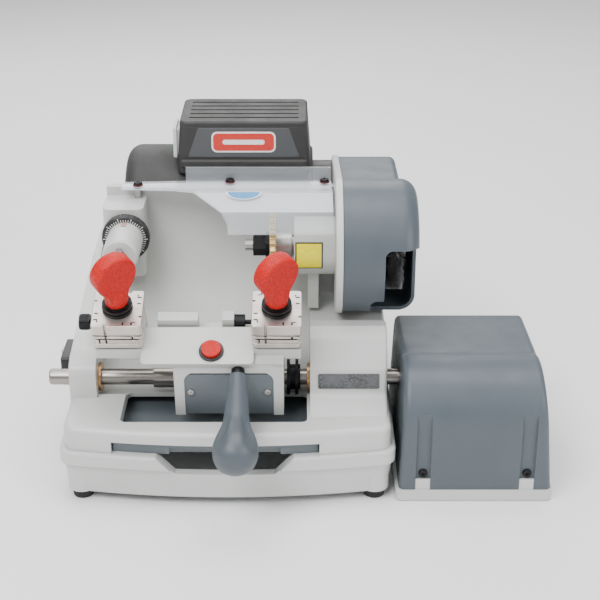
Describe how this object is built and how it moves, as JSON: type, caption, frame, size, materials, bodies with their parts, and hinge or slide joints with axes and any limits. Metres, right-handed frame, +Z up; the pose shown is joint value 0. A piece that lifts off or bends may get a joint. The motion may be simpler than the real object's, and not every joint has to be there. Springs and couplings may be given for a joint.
{
  "type": "key duplicating machine",
  "caption": "Bench machine that copies flat keys: twin four-sided clamps on a swinging, sliding carriage, a milling cutter, a tracer, a safety shield and a powered feed.",
  "frame": {"origin": "on the bench, under the middle of the machine's box", "axes": "+X to the machine's right along the carriage shaft, +Y to the back, +Z up"},
  "size_m": [0.429, 0.3674, 0.267],
  "materials": {
    "light_paint": "satin light grey enamel, fine orange peel",
    "blue_grey": "moulded blue-grey plastic, semi-gloss",
    "blue_grey_paint": "blue-grey painted sheet metal",
    "charcoal": "fine-textured charcoal plastic",
    "charcoal_paint": "black painted aluminium",
    "black_plastic": "black plastic",
    "black_steel": "black oxide steel",
    "nickel": "ground and nickel plated steel",
    "ground_steel": "ground steel",
    "steel": "machined steel",
    "cutter_steel": "coated tool steel, brassy",
    "bronze": "bearing bronze",
    "red_plastic": "speckled red plastic",
    "rubber": "black rubber",
    "clear_sheet": "clear polycarbonate",
    "green_plastic": "green translucent plastic",
    "pale_plastic": "pale grey plastic",
    "brush_wire": "crimped wire bristles",
    "badge_film": "mottled dark badge film",
    "copper_iron": "laminated iron and windings"
  },
  "bodies": {
    "machine": {"base_casting": "light_paint", "rubber_feet": "rubber", "body_casting": "light_paint", "shaft_bushes": "bronze", "spindle_bearings": "steel", "cover_flange": "light_paint", "belt_cover": "blue_grey", "safety_shield": "clear_sheet", "shield_standoffs": "steel", "cover_screws": "black_steel", "housing_badge": "badge_film", "motor_frame": "charcoal_paint", "motor_stator": "copper_iron", "fan_cowl": "charcoal", "terminal_box": "charcoal", "louvred_lid": "charcoal", "run_capacitor": "black_plastic", "switch_bezel": "pale_plastic", "power_inlet": "black_plastic", "fuse_drawer": "pale_plastic", "drive_plate": "light_paint", "drive_cover": "blue_grey", "feed_motor": "copper_iron", "drive_belt": "rubber", "tracer_barrel": "light_paint"},
    "tray": {"chip_tray": "blue_grey_paint"},
    "feed_shaft": {"carriage_shaft": "ground_steel", "feed_rack": "steel", "shaft_collars": "black_steel"},
    "pinion": {"feed_pinion": "steel"},
    "carriage": {"carriage_casting": "light_paint", "carriage_sleeve": "ground_steel", "front_plate": "blue_grey_paint", "plate_screws": "black_steel", "clamp_set_screws": "black_steel", "button_bezel": "black_plastic", "handle_stem": "black_steel", "handle_grip": "blue_grey"},
    "button": {"button_cap": "red_plastic"},
    "left_jaws": {"left_lower_jaw": "nickel", "left_clamp_stud": "steel"},
    "left_jaw_top": {"left_upper_jaw": "nickel", "left_collar": "black_steel"},
    "left_knob": {"left_clamp_knob": "red_plastic"},
    "right_jaws": {"right_lower_jaw": "nickel", "right_clamp_stud": "steel"},
    "right_jaw_top": {"right_upper_jaw": "nickel", "right_collar": "black_steel"},
    "right_knob": {"right_clamp_knob": "red_plastic"},
    "spindle": {"spindle_shaft": "steel", "cutter": "cutter_steel", "cutter_nut": "black_steel", "spindle_pulley": "steel", "brush_wheel": "brush_wire"},
    "rotor": {"motor_rotor": "copper_iron", "motor_fan": "pale_plastic", "motor_pulley": "steel"},
    "dial": {"dial_ring": "black_plastic"},
    "stylus": {"tracer_stylus": "steel"},
    "rocker": {"switch_rocker": "green_plastic"}
  },
  "joints": [
    {"name": "tray_slide", "type": "slide", "parent": "machine", "child": "tray", "axis": [0, -1, 0], "range_m": [0, 0.09]},
    {"name": "carriage_feed", "type": "slide", "parent": "machine", "child": "feed_shaft", "axis": [1, 0, 0], "range_m": [-0.037, 0.005]},
    {"name": "pinion_turn", "type": "hinge", "parent": "machine", "child": "pinion", "pos_m": [0.145, -0.043, 0.0585], "axis": [0, 1, 0], "range_deg": [-237, 33]},
    {"name": "carriage_swing", "type": "hinge", "parent": "feed_shaft", "child": "carriage", "pos_m": [-0.056, -0.043, 0.079], "axis": [-1, 0, 0], "range_deg": [0, 15]},
    {"name": "button_press", "type": "slide", "parent": "carriage", "child": "button", "axis": [0, 0.4771, -0.8789], "range_m": [0, 0.003], "stiffness_N_per_m": 400, "springref_m": -0.001},
    {"name": "left_jaws_turn", "type": "hinge", "parent": "carriage", "child": "left_jaws", "pos_m": [-0.146, -0.07089, 0.13631], "axis": [0, -0.3584, 0.9336], "continuous": true},
    {"name": "left_jaw_lift", "type": "slide", "parent": "left_jaws", "child": "left_jaw_top", "axis": [0, -0.3584, 0.9336], "range_m": [0, 0.0025]},
    {"name": "left_knob_turn", "type": "hinge", "parent": "left_jaw_top", "child": "left_knob", "pos_m": [-0.146, -0.08755, 0.17972], "axis": [0, -0.3584, 0.9336], "range_deg": [0, 360]},
    {"name": "right_jaws_turn", "type": "hinge", "parent": "carriage", "child": "right_jaws", "pos_m": [-0.016, -0.07089, 0.13631], "axis": [0, -0.3584, 0.9336], "continuous": true},
    {"name": "right_jaw_lift", "type": "slide", "parent": "right_jaws", "child": "right_jaw_top", "axis": [0, -0.3584, 0.9336], "range_m": [0, 0.0025]},
    {"name": "right_knob_turn", "type": "hinge", "parent": "right_jaw_top", "child": "right_knob", "pos_m": [-0.016, -0.08755, 0.17972], "axis": [0, -0.3584, 0.9336], "range_deg": [0, 360]},
    {"name": "spindle_spin", "type": "hinge", "parent": "machine", "child": "spindle", "pos_m": [0.01, 0.004, 0.183], "axis": [1, 0, 0], "continuous": true},
    {"name": "rotor_spin", "type": "hinge", "parent": "machine", "child": "rotor", "pos_m": [-0.04, 0.13, 0.175], "axis": [1, 0, 0], "continuous": true},
    {"name": "dial_turn", "type": "hinge", "parent": "machine", "child": "dial", "pos_m": [-0.15, 0.021, 0.183], "axis": [0, 1, 0], "range_deg": [-180, 180]},
    {"name": "stylus_slide", "type": "slide", "parent": "machine", "child": "stylus", "axis": [0, 1, 0], "range_m": [-0.0005, 0.0005]},
    {"name": "rocker_tilt", "type": "hinge", "parent": "machine", "child": "rocker", "pos_m": [-0.109, 0.108, 0.246], "axis": [0, -1, 0], "range_deg": [0, 16]}
  ],
  "couplings": [
    {"joint": "left_knob_turn", "follows": "left_jaw_lift", "rad_per_m": 2513.3},
    {"joint": "right_knob_turn", "follows": "right_jaw_lift", "rad_per_m": 2513.3},
    {"joint": "pinion_turn", "follows": "carriage_feed", "rad_per_m": 111.11},
    {"joint": "spindle_spin", "follows": "rotor_spin", "ratio": 0.73333},
    {"joint": "dial_turn", "follows": "stylus_slide", "rad_per_m": 6283}
  ]
}
